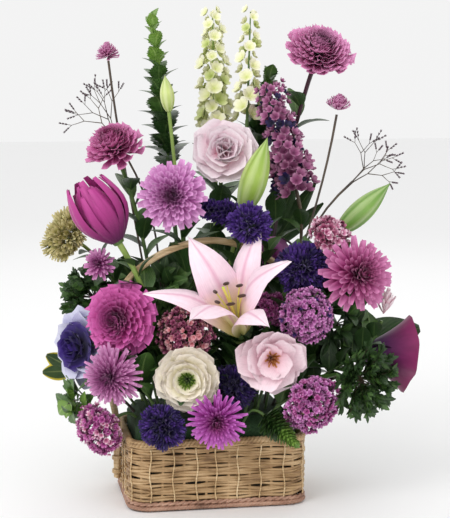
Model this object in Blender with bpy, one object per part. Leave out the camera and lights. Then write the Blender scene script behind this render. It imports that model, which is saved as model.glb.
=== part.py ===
"""A low rectangular cane basket with a hoop handle, holding a one-sided arrangement of cut flowers.

Lengths are metres, +Z is up and the front is -Y. The origin is the centre of the basket's underside.
The basket holds a plastic liner, the liner holds a block of floral foam, and every stem is pushed into
the foam on its own. Each stem with its bloom is one closed solid: rings that follow the stem's curve
and then open out into the bloom.
"""

from math import cos, pi, radians, sin

import bmesh
import bpy
from mathutils import Matrix, Vector

MM = 0.001
UP = Vector((0, 0, 1))

# --- Driving dimensions -------------------------------------------------------------------------

BASKET_LENGTH = 0.204
BASKET_WIDTH = 0.142
BASKET_HEIGHT = 0.082
CORNER_RADIUS = 0.024
BASE_HEIGHT = 0.011
RIM_HEIGHT = 0.010
WALL_THICKNESS = 0.006
BORDER_OVERHANG = 0.0015
HANDLE_RADIUS = 0.0045
LINER_INSET = 0.0080
LINER_THICKNESS = 0.0015
LINER_HEIGHT = 0.058
FOAM_PLAY = 0.0008
FOAM_TOP = 0.102
FOAM_CHAMFER = 0.010
TOUCHING_GAP = 0.0003

# The arranger works a little to the left of the basket's long side, so the flowers face that way.
FACE_TURN = radians(-10)
STEM_STEPS = 6
FOOT_DEPTH = 0.046
FOOT_SPACING = 0.0125
HOLE_CLEARANCE = 0.0004
HOLE_SIDES = 6


def clear_scene():
    for obj in list(bpy.data.objects):
        bpy.data.objects.remove(obj)


def finish_of(name, colour, roughness):
    """One Principled material for one kind of surface, made once and shared."""
    material = bpy.data.materials.get(name)
    if material is None:
        material = bpy.data.materials.new(name)
        material.use_nodes = True
        shader = material.node_tree.nodes["Principled BSDF"]
        shader.inputs["Base Color"].default_value = (*colour, 1)
        shader.inputs["Roughness"].default_value = roughness
        shader.inputs["Metallic"].default_value = 0
    return material


def object_from(bm, name, material):
    bmesh.ops.recalc_face_normals(bm, faces=bm.faces)
    mesh = bpy.data.meshes.new(name)
    bm.to_mesh(mesh)
    bm.free()
    mesh.materials.append(material)
    obj = bpy.data.objects.new(name, mesh)
    bpy.context.collection.objects.link(obj)
    return obj


# --- Basket -------------------------------------------------------------------------------------


def rounded_rectangle(length, width, radius, steps=3):
    """Corner points of a rounded rectangle, counter-clockwise, centred on the origin."""
    points = []
    for quarter, (sx, sy) in enumerate(((1, 1), (-1, 1), (-1, -1), (1, -1))):
        centre = Vector((sx * (length / 2 - radius), sy * (width / 2 - radius)))
        for step in range(steps + 1):
            angle = (quarter + step / steps) * pi / 2
            points.append(centre + radius * Vector((cos(angle), sin(angle))))
    return points


def rounded_solid(name, levels, material):
    """One closed solid with the basket's plan, grown from level to level; levels are (inset, height)."""
    bm = bmesh.new()
    inset, height = levels[0]
    outline = rounded_rectangle(
        BASKET_LENGTH - 2 * inset, BASKET_WIDTH - 2 * inset, CORNER_RADIUS - inset
    )
    first = bm.faces.new([bm.verts.new((p.x, p.y, height)) for p in outline])
    face = first
    for next_inset, next_height in levels[1:]:
        grown = bmesh.ops.extrude_face_region(bm, geom=[face])
        if face is not first:
            bmesh.ops.delete(bm, geom=[face], context="FACES_ONLY")
        face = next(f for f in grown["geom"] if isinstance(f, bmesh.types.BMFace))
        for vert in face.verts:
            vert.co += away_from_core(vert.co) * (inset - next_inset)
            vert.co.z = next_height
        inset = next_inset
    return object_from(bm, name, material)


def rounded_ring(name, inset, section, material):
    """A closed ring that follows the basket's plan; section is (outward, up) from the plan moved in."""
    bm = bmesh.new()
    reach = inset - section[0][0]
    outline = rounded_rectangle(
        BASKET_LENGTH - 2 * reach, BASKET_WIDTH - 2 * reach, CORNER_RADIUS - reach
    )
    verts = [bm.verts.new((p.x, p.y, section[0][1])) for p in outline]
    edges = [bm.edges.new((a, b)) for a, b in zip(verts, verts[1:] + verts[:1])]
    for (outward, height), (next_outward, next_height) in zip(section, section[1:] + section[:1]):
        grown = bmesh.ops.extrude_edge_only(bm, edges=edges)["geom"]
        edges = [e for e in grown if isinstance(e, bmesh.types.BMEdge)]
        for vert in [v for v in grown if isinstance(v, bmesh.types.BMVert)]:
            vert.co += away_from_core(vert.co) * (next_outward - outward)
            vert.co.z = next_height
    bmesh.ops.remove_doubles(bm, verts=bm.verts, dist=0.00001)
    return object_from(bm, name, material)


def away_from_core(point):
    """The level direction square to the basket's plan at a point on one of its corners."""
    core_x = BASKET_LENGTH / 2 - CORNER_RADIUS
    core_y = BASKET_WIDTH / 2 - CORNER_RADIUS
    core = Vector((max(-core_x, min(core_x, point.x)), max(-core_y, min(core_y, point.y)), point.z))
    return (point - core).normalized()


def rolled_section(thickness, bottom, top):
    """An eight-sided, softly rounded section for a rolled border of cane."""
    half = thickness / 2
    middle, reach = (bottom + top) / 2, (top - bottom) / 2
    turns = [radians(22.5 + 45 * k) for k in range(8)]
    return [
        (half * cos(a) / cos(radians(22.5)), middle + reach * sin(a) / sin(radians(67.5)))
        for a in turns
    ]


def flat_section(thickness, bottom, top):
    half = thickness / 2
    return [(-half, bottom), (half, bottom), (half, top), (-half, top)]


def build_basket():
    """The flat base with its border, the wall that stands on it, the rolled rim and the handle."""
    cane = finish_of("cane", (0.56, 0.38, 0.19), 0.7)
    pale_cane = finish_of("pale_cane", (0.68, 0.50, 0.27), 0.55)
    edge = 0.0015
    base_levels = [
        (edge, 0),
        (-BORDER_OVERHANG, edge * 2),
        (-BORDER_OVERHANG, BASE_HEIGHT - edge * 2),
        (edge, BASE_HEIGHT),
    ]
    rounded_solid("basket_base", base_levels, cane)
    middle = WALL_THICKNESS / 2
    rim_bottom = BASKET_HEIGHT - RIM_HEIGHT
    wall = flat_section(WALL_THICKNESS, BASE_HEIGHT + TOUCHING_GAP, rim_bottom - TOUCHING_GAP)
    rounded_ring("basket_wall", middle, wall, cane)
    rim = rolled_section(WALL_THICKNESS + 2 * BORDER_OVERHANG, rim_bottom, BASKET_HEIGHT)
    rounded_ring("basket_rim", middle, rim, cane)
    build_handle(pale_cane)


def build_handle(material):
    """A bent cane hoop whose ends run down the outside of the basket's two short walls."""
    side = BASKET_LENGTH / 2 + BORDER_OVERHANG + TOUCHING_GAP + HANDLE_RADIUS
    right_half = [
        (side, 0.022),
        (side, 0.050),
        (side, 0.080),
        (side + 0.006, 0.120),
        (side + 0.011, 0.160),
        (side + 0.010, 0.200),
        (side, 0.231),
        (0.087, 0.260),
        (0.058, 0.281),
        (0.030, 0.292),
    ]
    route = right_half + [(0, 0.296)] + [(-x, z) for x, z in reversed(right_half)]
    spline_data = bpy.data.curves.new("basket_handle", "CURVE")
    spline_data.dimensions = "3D"
    spline_data.bevel_depth = HANDLE_RADIUS
    spline_data.bevel_resolution = 2
    spline_data.use_fill_caps = True
    spline = spline_data.splines.new("POLY")
    spline.points.add(len(route) - 1)
    for point, (x, z) in zip(spline.points, route):
        point.co = (x, 0, z, 1)
    spline_data.materials.append(material)
    handle = bpy.data.objects.new("basket_handle", spline_data)
    bpy.context.collection.objects.link(handle)


# --- Liner and foam -----------------------------------------------------------------------------


def build_liner():
    """A thin black plastic tray that keeps the water off the cane. Returns the level of its floor."""
    plastic = finish_of("liner_plastic", (0.02, 0.02, 0.02), 0.4)
    bottom = BASE_HEIGHT + TOUCHING_GAP
    inner = LINER_INSET + LINER_THICKNESS
    levels = [
        (LINER_INSET, bottom),
        (LINER_INSET, bottom + LINER_HEIGHT),
        (inner, bottom + LINER_HEIGHT),
        (inner, bottom + LINER_THICKNESS),
    ]
    rounded_solid("liner_tray", levels, plastic)
    return bottom + LINER_THICKNESS


def build_foam(floor, cuttings):
    """The foam block, with the hole that each stem has pressed into it."""
    green = finish_of("foam", (0.03, 0.10, 0.04), 0.95)
    inset = LINER_INSET + LINER_THICKNESS + FOAM_PLAY
    levels = [
        (inset, floor + TOUCHING_GAP),
        (inset, FOAM_TOP - FOAM_CHAMFER),
        (inset + FOAM_CHAMFER, FOAM_TOP),
    ]
    foam = rounded_solid("floral_foam", levels, green)
    bm = bmesh.new()
    for cutting in cuttings:
        radius = (cutting.stem_radius + HOLE_CLEARANCE) / cos(pi / HOLE_SIDES)
        length = 2 * FOOT_DEPTH
        hole = bmesh.ops.create_cone(
            bm, cap_ends=True, segments=HOLE_SIDES, radius1=radius, radius2=radius, depth=length
        )
        middle = cutting.foot + cutting.entry * (length / 2 - HOLE_CLEARANCE)
        turn = cutting.entry.to_track_quat("Z", "Y").to_matrix().to_4x4()
        bmesh.ops.transform(bm, matrix=Matrix.Translation(middle) @ turn, verts=hole["verts"])
    holes = object_from(bm, "stem_holes", green)
    holes.hide_render = True
    holes.display_type = "WIRE"
    cut = foam.modifiers.new("stem holes", "BOOLEAN")
    cut.operation = "DIFFERENCE"
    cut.solver = "EXACT"
    cut.use_self = True
    cut.object = holes


# --- Cut stems ----------------------------------------------------------------------------------
# A head is a list of rings: (distance along the head, half width, half thickness), as shares of the
# head's length and radius. The last ring is closed by a flat face that looks the way the bloom looks.

DOME = ((0.18, 0.45, 0.45), (0.42, 0.86, 0.86), (0.68, 1.0, 1.0), (0.88, 0.8, 0.8), (1, 0.45, 0.45))
SAUCER = ((0.25, 0.5, 0.5), (0.62, 0.94, 0.94), (0.86, 1.0, 1.0), (1, 0.72, 0.72))
TRUMPET = (
    (0.14, 0.10, 0.10),
    (0.42, 0.24, 0.24),
    (0.72, 0.56, 0.56),
    (1, 1, 1),
    (0.97, 0.82, 0.82),
    (0.70, 0.42, 0.42),
    (0.42, 0.12, 0.12),
)
BUD = ((0.12, 0.62, 0.62), (0.34, 1.0, 1.0), (0.62, 0.86, 0.86), (0.86, 0.48, 0.48), (1, 0.14, 0.14))
SPIKE = ((0.08, 0.7, 0.7), (0.30, 1.0, 1.0), (0.60, 0.8, 0.8), (0.86, 0.45, 0.45), (1, 0.15, 0.15))
GOBLET = ((0.10, 0.5, 0.5), (0.32, 0.92, 0.92), (0.62, 1.0, 1.0), (0.86, 0.86, 0.86), (1, 0.55, 0.55))
SPATHE = ((0.16, 0.26, 0.26), (0.45, 0.58, 0.58), (0.75, 0.9, 0.9), (0.94, 1.0, 0.9), (1, 0.7, 0.6))
BLADE = ((0.12, 0.5, 0.10), (0.40, 1.0, 0.11), (0.70, 0.8, 0.10), (0.90, 0.4, 0.08), (1, 0.10, 0.06))
TWIGS = ((0.25, 0.5, 0.3), (0.6, 1.0, 0.5), (0.85, 0.7, 0.4), (1, 0.12, 0.12))


def facewise(across, up, forward):
    """A vector in the arrangement's own frame: to its right, up, and out towards its viewer."""
    right = Vector((cos(FACE_TURN), sin(FACE_TURN), 0))
    outward = Vector((sin(FACE_TURN), -cos(FACE_TURN), 0))
    return right * across + UP * up + outward * forward


class Cutting:
    """One cut stem with its bloom, leaf or spray. Places and sizes are in millimetres."""

    def __init__(self, name, finish, shape, face, facing, radius, length, stem=2.0, sides=6, bow=0.42):
        self.name = name
        self.finish = finish
        self.shape = shape
        self.face = facewise(*face) * MM
        self.facing = facewise(*facing).normalized()
        self.radius = radius * MM
        self.length = length * MM
        self.stem_radius = stem * MM
        self.sides = sides
        self.bow = bow
        end_share = shape[-1][0]
        self.neck = self.face - self.facing * self.length * end_share
        self.foot = Vector()
        self.entry = UP

    def plant(self, foot):
        """Sets where the cut end lies in the foam, and the way the stem leaves it."""
        self.foot = foot
        straight = (self.neck - foot).normalized()
        self.entry = (straight + UP * 0.55).normalized()

    def route(self):
        """Points and directions of the stem's centre line, from the cut end to the neck."""
        foam_exit = self.foot + self.entry * FOOT_DEPTH
        reach = (self.neck - foam_exit).length * self.bow
        controls = (
            foam_exit,
            foam_exit + self.entry * reach,
            self.neck - self.facing * reach,
            self.neck,
        )
        stations = [(self.foot, self.entry)]
        for step in range(STEM_STEPS + 1):
            t = step / STEM_STEPS
            stations.append(bezier(controls, t))
        return stations

    def build(self):
        stations = [(p, d, self.stem_radius, self.stem_radius) for p, d in self.route()]
        for along, wide, thick in self.shape:
            centre = self.neck + self.facing * self.length * along
            stations.append((centre, self.facing, self.radius * wide, self.radius * thick))
        loft(self.name, stations, self.sides, self.finish)


def bezier(controls, t):
    """Point and unit direction on a cubic curve."""
    a, b, c, d = controls
    s = 1 - t
    point = a * s**3 + b * (3 * s * s * t) + c * (3 * s * t * t) + d * t**3
    direction = (b - a) * (s * s) + (c - b) * (2 * s * t) + (d - c) * (t * t)
    return point, direction.normalized()


def carried_frames(stations):
    """Side vectors for the rings, carried back from the head so that a flat head faces the viewer."""
    viewer = facewise(0, 0.25, 1).normalized()
    side = viewer.cross(stations[-1][1])
    if side.length < 0.2:
        side = facewise(1, 0, 0)
    sides = []
    for _, direction, _, _ in reversed(stations):
        side = (side - direction * side.dot(direction)).normalized()
        sides.append(side)
    return sides[::-1]


def loft(name, stations, sides, finish):
    """Extrudes one face from ring to ring, so that stem and head are a single closed skin."""
    bm = bmesh.new()
    circle = bmesh.ops.create_circle(bm, cap_ends=True, segments=sides, radius=1)
    face = circle["verts"][0].link_faces[0]
    ring = list(face.verts)
    unit = [v.co.xy.copy() for v in ring]
    frames = carried_frames(stations)
    for index, ((centre, direction, wide, thick), side) in enumerate(zip(stations, frames)):
        if index:
            grown = bmesh.ops.extrude_face_region(bm, geom=[face])
            if index > 1:
                bmesh.ops.delete(bm, geom=[face], context="FACES_ONLY")
            face = next(f for f in grown["geom"] if isinstance(f, bmesh.types.BMFace))
            ring = list(face.verts)
        across = side * wide
        over = direction.cross(side) * thick
        for vert, corner in zip(ring, unit):
            vert.co = centre + across * corner.x + over * corner.y
    return object_from(bm, name, finish)


def plant_all(cuttings):
    """Feet stand below their heads, drawn in to fit the foam and pushed apart until none is crowded."""
    half_length = BASKET_LENGTH / 2 - 0.020
    half_width = BASKET_WIDTH / 2 - 0.020
    spots = []
    for cutting in cuttings:
        spots.append(Vector((cutting.neck.x * 0.42, cutting.neck.y * 0.55)))
    for _ in range(400):
        for i, spot in enumerate(spots):
            for other in spots[:i]:
                gap = spot - other
                if gap.length < FOOT_SPACING:
                    push = gap.normalized() * (FOOT_SPACING - gap.length) / 2
                    spot += push
                    other -= push
            spot.x = max(-half_length, min(half_length, spot.x))
            spot.y = max(-half_width, min(half_width, spot.y))
    for cutting, spot in zip(cuttings, spots):
        cutting.plant(Vector((spot.x, spot.y, FOAM_TOP - 0.035)))


def bouquet():
    """Every stem in the basket: name, finish, shape, face, facing, radius, length."""
    green = finish_of("leaf_green", (0.05, 0.16, 0.04), 0.5)
    light_green = finish_of("bud_green", (0.35, 0.50, 0.10), 0.45)
    blush = finish_of("petal_blush", (0.90, 0.66, 0.72), 0.5)
    cream = finish_of("petal_cream", (0.88, 0.80, 0.62), 0.55)
    lilac = finish_of("petal_lilac", (0.62, 0.22, 0.52), 0.55)
    magenta = finish_of("petal_magenta", (0.55, 0.05, 0.28), 0.5)
    violet = finish_of("petal_violet", (0.08, 0.03, 0.20), 0.6)
    lime = finish_of("petal_lime", (0.60, 0.62, 0.28), 0.6)
    dark = finish_of("twig_brown", (0.10, 0.07, 0.05), 0.7)
    return [
        Cutting("lily", blush, TRUMPET, (28, 224, 64), (-0.2, 0.76, 0.6), 68, 104, 3.0, 10),
        Cutting("lily_bud_centre", light_green, BUD, (68, 415, 14), (0.3, 0.9, 0.3), 15, 96, 2.5),
        Cutting("lily_bud_upper", light_green, BUD, (-51, 485, -24), (-0.1, 0.99, 0.1), 8, 42, 2.0),
        Cutting("lily_bud_right", light_green, BUD, (212, 359, -22), (0.74, 0.67, 0.1), 13, 84, 2.2),
        Cutting("lisianthus_top", blush, SAUCER, (18, 402, -16), (0.05, 0.3, 0.95), 38, 32, 2.4, 8),
        Cutting("lisianthus_cream", cream, SAUCER, (-25, 151, 92), (-0.1, 0.05, 1), 35, 28, 2.2, 8),
        Cutting("lisianthus_pale", blush, SAUCER, (71, 175, 92), (0.12, 0.05, 1), 35, 28, 2.2, 8),
        Cutting("lisianthus_lilac", lilac, SAUCER, (75, 273, -32), (0.3, 0.35, 0.9), 26, 24, 2.2, 8),
        Cutting("chrysanthemum_upper", lilac, DOME, (-43, 353, 54), (-0.1, 0.1, 1), 38, 32, 2.4, 8),
        Cutting("chrysanthemum_right", magenta, DOME, (173, 268, 68), (0.35, 0.2, 0.9), 41, 32, 2.4, 8),
        Cutting("chrysanthemum_left", magenta, DOME, (-105, 217, 78), (-0.3, 0.15, 0.94), 39, 34, 2.4, 8),
        Cutting("aster_pink", lilac, DOME, (-113, 154, 100), (-0.3, -0.05, 0.95), 33, 28, 2.0, 8),
        Cutting("aster_front", magenta, DOME, (9, 106, 108), (0, -0.1, 1), 30, 24, 2.0, 8),
        Cutting("aster_left", lilac, DOME, (-129, 276, 27), (-0.3, 0.4, 0.85), 19, 18, 1.8),
        Cutting("scabiosa_large", magenta, DOME, (130, 525, -26), (0.22, 0.75, 0.62), 38, 30, 2.2, 8),
        Cutting("scabiosa_right", lilac, DOME, (151, 463, -30), (0.15, 0.97, 0.1), 15, 24, 1.3),
        Cutting("scabiosa_left", lilac, DOME, (-121, 521, -62), (-0.1, 0.97, 0.15), 13, 20, 1.3),
        Cutting("tulip", magenta, GOBLET, (-141, 366, 48), (-0.5, 0.84, 0.1), 22, 76, 2.8, 8),
        Cutting("calla", violet, SPATHE, (243, 166, 14), (0.93, 0.02, 0.28), 38, 84, 3.2, 8),
        Cutting("snapdragon_left", cream, SPIKE, (3, 562, -100), (-0.02, 1, 0), 20, 150, 2.2),
        Cutting("snapdragon_right", cream, SPIKE, (48, 562, -66), (0.03, 1, 0), 15, 130, 2.0),
        Cutting("statice_spike", violet, SPIKE, (-22, 340, 12), (-0.93, 0.25, 0.15), 9, 56, 1.6),
        Cutting("statice_centre", violet, DOME, (50, 325, 47), (0.3, 0.5, 0.8), 17, 20, 1.6),
        Cutting("statice_right", violet, DOME, (109, 270, 44), (0.2, 0.2, 0.95), 23, 22, 1.8),
        Cutting("lisianthus_violet", violet, SAUCER, (-158, 176, 20), (-0.7, 0.1, 0.7), 42, 30, 2.0, 8),
        Cutting("statice_front", violet, DOME, (-54, 98, 98), (-0.2, -0.1, 1), 19, 18, 1.6),
        Cutting("trachelium_right", lilac, DOME, (113, 221, 74), (0.3, 0.1, 0.95), 32, 24, 1.8),
        Cutting("trachelium_middle", magenta, DOME, (72, 222, 40), (0.3, 0.1, 0.95), 20, 20, 1.6),
        Cutting("trachelium_centre", magenta, DOME, (-29, 198, 62), (-0.2, 0.1, 1), 32, 22, 1.8),
        Cutting("trachelium_low_right", magenta, DOME, (122, 117, 86), (0.4, -0.25, 0.88), 34, 28, 1.8),
        Cutting("trachelium_low_left", magenta, DOME, (-134, 83, 60), (-0.6, -0.25, 0.75), 31, 26, 1.8),
        Cutting("stock_left", magenta, DOME, (-115, 416, -24), (-0.25, 0.8, 0.5), 34, 30, 2.2),
        Cutting("waxflower_back", lilac, SPIKE, (69, 473, -52), (-0.26, 0.96, 0.05), 23, 130, 1.8),
        Cutting("waxflower_right", lilac, DOME, (142, 315, 36), (0.4, 0.6, 0.7), 22, 24, 1.6),
        Cutting("freesia_right", blush, DOME, (205, 243, 20), (0.2, 0.97, 0.1), 13, 38, 1.6),
        Cutting("statice_low", violet, DOME, (24, 139, 68), (-0.1, 0.3, 0.95), 19, 22, 1.6),
        Cutting("solidago", lime, DOME, (-178, 306, -28), (-0.7, 0.5, 0.5), 26, 26, 1.8),
        Cutting("limonium_left", dark, TWIGS, (-164, 485, -88), (-0.55, 0.83, 0), 18, 90, 1.2, 6),
        Cutting("limonium_right", dark, TWIGS, (228, 413, -50), (0.75, 0.66, 0), 28, 80, 1.2, 6),
        Cutting("leafy_branch", green, SPIKE, (-68, 564, -64), (-0.1, 0.99, 0), 20, 190, 2.4),
        Cutting("ruscus_back", green, BLADE, (73, 490, -98), (0.2, 0.98, 0), 16, 100, 1.8),
        Cutting("lily_leaf", green, BLADE, (120, 370, -84), (0.45, 0.89, 0.05), 13, 110, 1.8),
        Cutting("calla_leaf", green, BLADE, (250, 184, -54), (0.93, 0.2, 0), 22, 90, 2.0),
        Cutting("fern_front", green, BLADE, (96, 82, 98), (0.6, -0.45, 0.5), 16, 52, 1.6),
        Cutting("myrtle_right", green, DOME, (188, 140, 68), (0.6, -0.15, 0.78), 40, 32, 2.0),
        Cutting("myrtle_left", green, DOME, (-154, 229, -22), (-0.6, 0.2, 0.76), 34, 30, 2.0),
        Cutting("myrtle_centre", green, DOME, (-59, 240, 2), (-0.2, 0.3, 0.9), 26, 30, 2.0),
        Cutting("myrtle_middle", green, DOME, (161, 202, 8), (0.5, 0.2, 0.85), 26, 26, 1.8),
        Cutting("variegated_leaf", green, BLADE, (-198, 150, -16), (-0.95, 0.25, 0.2), 12, 44, 1.6),
        Cutting("parsley_leaf", green, DOME, (-162, 112, 18), (-0.8, -0.1, 0.6), 24, 22, 1.8),
        Cutting("salal_back_left", green, BLADE, (-110, 262, -100), (-0.5, 0.8, -0.2), 34, 110, 2.2),
        Cutting("salal_back_middle", green, BLADE, (0, 300, -128), (0, 0.9, -0.4), 34, 110, 2.2),
        Cutting("salal_back_right", green, BLADE, (115, 255, -108), (0.5, 0.8, -0.2), 34, 110, 2.2),
    ]


clear_scene()
build_basket()
foam_bottom = build_liner()
CUTTINGS = bouquet()
plant_all(CUTTINGS)
for cutting in CUTTINGS:
    cutting.build()
build_foam(foam_bottom, CUTTINGS)
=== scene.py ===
"""A cane basket of cut flowers: lily, lisianthus, chrysanthemums, statice, trachelium, scabiosa and more.

Metres, +Z up, front towards -Y. Each piece stands where its solid in the frame stands: the cut end, the
neck and the way the bloom faces are read from that solid.
"""

import random
from math import atan2, cos, hypot, pi, radians, sin, sqrt, tau

import bmesh
import bpy
from mathutils import Matrix, Vector


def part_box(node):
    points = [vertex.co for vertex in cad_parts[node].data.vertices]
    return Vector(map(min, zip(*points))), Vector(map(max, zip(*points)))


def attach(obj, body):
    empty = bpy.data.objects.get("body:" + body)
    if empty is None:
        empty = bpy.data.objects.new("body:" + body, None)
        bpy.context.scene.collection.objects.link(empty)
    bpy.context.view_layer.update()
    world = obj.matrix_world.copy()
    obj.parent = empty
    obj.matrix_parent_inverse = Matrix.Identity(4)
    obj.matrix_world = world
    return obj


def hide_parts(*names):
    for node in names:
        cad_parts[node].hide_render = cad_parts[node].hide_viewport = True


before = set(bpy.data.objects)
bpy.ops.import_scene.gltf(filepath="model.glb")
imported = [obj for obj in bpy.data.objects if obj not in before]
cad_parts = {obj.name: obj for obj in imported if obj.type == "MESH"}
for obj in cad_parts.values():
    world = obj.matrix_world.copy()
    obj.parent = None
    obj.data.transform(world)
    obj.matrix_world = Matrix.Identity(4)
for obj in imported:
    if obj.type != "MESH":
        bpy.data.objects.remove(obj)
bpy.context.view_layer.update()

UP = Vector((0, 0, 1))
scene = bpy.context.scene

# === Floor, light and camera ===
# A plain white studio sweep with broad soft lights, seen from a little left of the front and
# slightly above, the way a florist's arrangement is looked at on a table.


class Socket:
    """A shader value that adds its Math nodes when it is used in an expression."""

    def __init__(self, shader, output):
        self.shader = shader
        self.output = output

    def math(self, operation, *values):
        return self.shader.node("ShaderNodeMath", {"operation": operation}, *values)

    def __add__(self, other):
        return self.math("ADD", self, other)

    def __radd__(self, other):
        return self.math("ADD", other, self)

    def __sub__(self, other):
        return self.math("SUBTRACT", self, other)

    def __rsub__(self, other):
        return self.math("SUBTRACT", other, self)

    def __mul__(self, other):
        return self.math("MULTIPLY", self, other)

    def __rmul__(self, other):
        return self.math("MULTIPLY", other, self)


class Finish:
    """A material under construction: one Principled shader and the nodes that lead into it."""

    def __init__(self, name, roughness=0.5, coat=0.0, sheen=0.0, subsurface=0.0):
        self.material = bpy.data.materials.new(name)
        self.material.use_nodes = True
        self.tree = self.material.node_tree
        self.shader = self.tree.nodes["Principled BSDF"]
        self.shader.inputs["Roughness"].default_value = roughness
        self.shader.inputs["Coat Weight"].default_value = coat
        self.shader.inputs["Sheen Weight"].default_value = sheen
        self.shader.inputs["Subsurface Weight"].default_value = subsurface
        self.shader.inputs["Subsurface Scale"].default_value = 0.004

    def node(self, kind, settings=None, *values, out=0, **named):
        """Adds a node: its settings first, then the values or links of its sockets."""
        made = self.tree.nodes.new(kind)
        for key, value in (settings or {}).items():
            if key == "stops":
                ramp = made.color_ramp
                while len(ramp.elements) < len(value):
                    ramp.elements.new(1.0)
                for element, (place, colour) in zip(ramp.elements, value):
                    element.position = place
                    element.color = (*colour, 1) if len(colour) == 3 else colour
            else:
                setattr(made, key, value)
        for key, value in list(enumerate(values)) + list(named.items()):
            socket = made.inputs[key.replace("_", " ") if isinstance(key, str) else key]
            self.join(value, socket)
        return Socket(self, made.outputs[out])

    def join(self, value, socket):
        if isinstance(value, Socket):
            self.tree.links.new(value.output, socket)
        else:
            socket.default_value = value

    def feed(self, name, value):
        self.join(value, self.shader.inputs[name])

    def place(self):
        return self.node("ShaderNodeTexCoord", out=3)

    def along(self):
        """The two coordinates of the piece's own map: across a petal or leaf, and along it."""
        uv = self.node("ShaderNodeTexCoord", out=2)
        split = self.node("ShaderNodeSeparateXYZ", None, uv)
        return Socket(self, split.output.node.outputs[0]), Socket(self, split.output.node.outputs[1])

    def attribute(self, name):
        return self.node("ShaderNodeAttribute", {"attribute_name": name}, out=2)

    def grain(self, scale, detail=3.0, stretch=(1, 1, 1), vector=None):
        vector = vector or self.place()
        spot = self.node("ShaderNodeMapping", None, vector, Scale=stretch)
        return self.node("ShaderNodeTexNoise", None, spot, Scale=scale, Detail=detail)

    def ramp(self, value, *stops):
        return self.node("ShaderNodeValToRGB", {"stops": stops}, value)

    def blend(self, share, first, second, how="MIX"):
        made = self.tree.nodes.new("ShaderNodeMix")
        made.data_type = "RGBA"
        made.blend_type = how
        made.clamp_factor = True
        self.join(share, made.inputs[0])
        for value, socket in ((first, made.inputs[6]), (second, made.inputs[7])):
            self.join((*value, 1) if isinstance(value, tuple) and len(value) == 3 else value, socket)
        return Socket(self, made.outputs[2])

    def bump(self, height, strength, distance):
        self.feed(
            "Normal",
            self.node("ShaderNodeBump", None, Strength=strength, Distance=distance, Height=height),
        )


studio = Finish("studio_white", roughness=0.9)
studio.feed("Base Color", (0.94, 0.94, 0.94, 1))

def finished(bm, name):
    """Makes a mesh of a bmesh and lets the bmesh go."""
    mesh = bpy.data.meshes.new(name)
    bm.to_mesh(mesh)
    bm.free()
    return mesh


bm = bmesh.new()
bmesh.ops.create_grid(bm, x_segments=1, y_segments=1, size=8)
floor_mesh = finished(bm, "studio_floor")
floor_mesh.materials.append(studio.material)
studio_floor = bpy.data.objects.new("studio_floor", floor_mesh)
studio_floor.location.z = -0.0005
scene.collection.objects.link(studio_floor)

VIEW_TURN = radians(-10)
VIEW_RISE = radians(7.5)
VIEW_DISTANCE = 1.7
VIEW_HEIGHT = 0.596
RIGHT = Vector((cos(VIEW_TURN), sin(VIEW_TURN), 0))
OUTWARD = Vector((sin(VIEW_TURN), -cos(VIEW_TURN), 0))
aim = RIGHT * 0.018 + UP * 0.275
towards_eye = OUTWARD * cos(VIEW_RISE) + UP * sin(VIEW_RISE)
camera_data = bpy.data.cameras.new("studio_camera")
camera_data.sensor_width = 36
camera_data.lens = 36 * VIEW_DISTANCE / VIEW_HEIGHT
camera = bpy.data.objects.new("studio_camera", camera_data)
camera.location = aim + towards_eye * VIEW_DISTANCE
camera.rotation_euler = towards_eye.to_track_quat("Z", "Y").to_euler()
scene.collection.objects.link(camera)
scene.camera = camera

world = bpy.data.worlds.new("studio_world")
world.use_nodes = True
world.node_tree.nodes["Background"].inputs["Color"].default_value = (1, 1, 1, 1)
world.node_tree.nodes["Background"].inputs["Strength"].default_value = 0.90
scene.world = world
scene.view_settings.view_transform = "Standard"
scene.view_settings.look = "None"


def soft_light(name, across, up, forward, size, watts):
    lamp = bpy.data.lights.new(name, "AREA")
    lamp.size = size
    lamp.energy = watts
    holder = bpy.data.objects.new(name, lamp)
    holder.location = RIGHT * across + UP * up + OUTWARD * forward
    holder.rotation_euler = (holder.location - UP * 0.3).to_track_quat("Z", "Y").to_euler()
    scene.collection.objects.link(holder)


soft_light("key_light", -1.1, 1.7, 1.5, 1.2, 19)
soft_light("fill_light", 1.6, 0.9, 1.3, 1.6, 2)
soft_light("back_light", 0.3, 1.6, -1.6, 1.4, 4)

# === Woven cane basket ===
# Round cane reeds are laid in courses round upright stakes, each course weaving in and out, and a thin
# twine binds the courses together. The rim and the foot are ropes of cane twisted round the edge.

LENGTH, WIDTH = (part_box("basket_wall")[1][k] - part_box("basket_wall")[0][k] for k in (0, 1))
WALL_TOP, WALL_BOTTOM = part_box("basket_wall")[1][2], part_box("basket_wall")[0][2]
CORNER = 0.024
REED = 0.00185
COURSES = 9
STAKE_PITCH = 0.0245
COURSE_INSET = 0.0024
WEAVE_SWING = 0.0015
STAKE_INSET = 0.0030
STAKE_RADIUS = 0.0016
TWINE_RADIUS = 0.00085


def cane_finish(name, pale, deep, dark):
    cane = Finish(name, roughness=0.55, coat=0.08)
    broad = cane.grain(38, 4)
    fibre = cane.grain(120, 5, (0.25, 0.25, 3.5))
    tone = cane.ramp(fibre * 0.45 + broad * 0.55, (0.35, dark), (0.47, deep), (0.60, pale))
    cane.feed("Base Color", tone)
    cane.feed("Roughness", fibre * 0.35 + 0.4)
    cane.bump(fibre, 0.5, 0.0006)
    return cane.material


CANE = cane_finish("cane", (0.58, 0.40, 0.215), (0.40, 0.25, 0.115), (0.17, 0.09, 0.035))
CANE_PALE = cane_finish("cane_pale", (0.74, 0.57, 0.35), (0.56, 0.39, 0.20), (0.33, 0.20, 0.09))
CANE_FOOT = cane_finish("cane_foot", (0.50, 0.30, 0.21), (0.33, 0.17, 0.11), (0.12, 0.055, 0.03))


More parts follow.
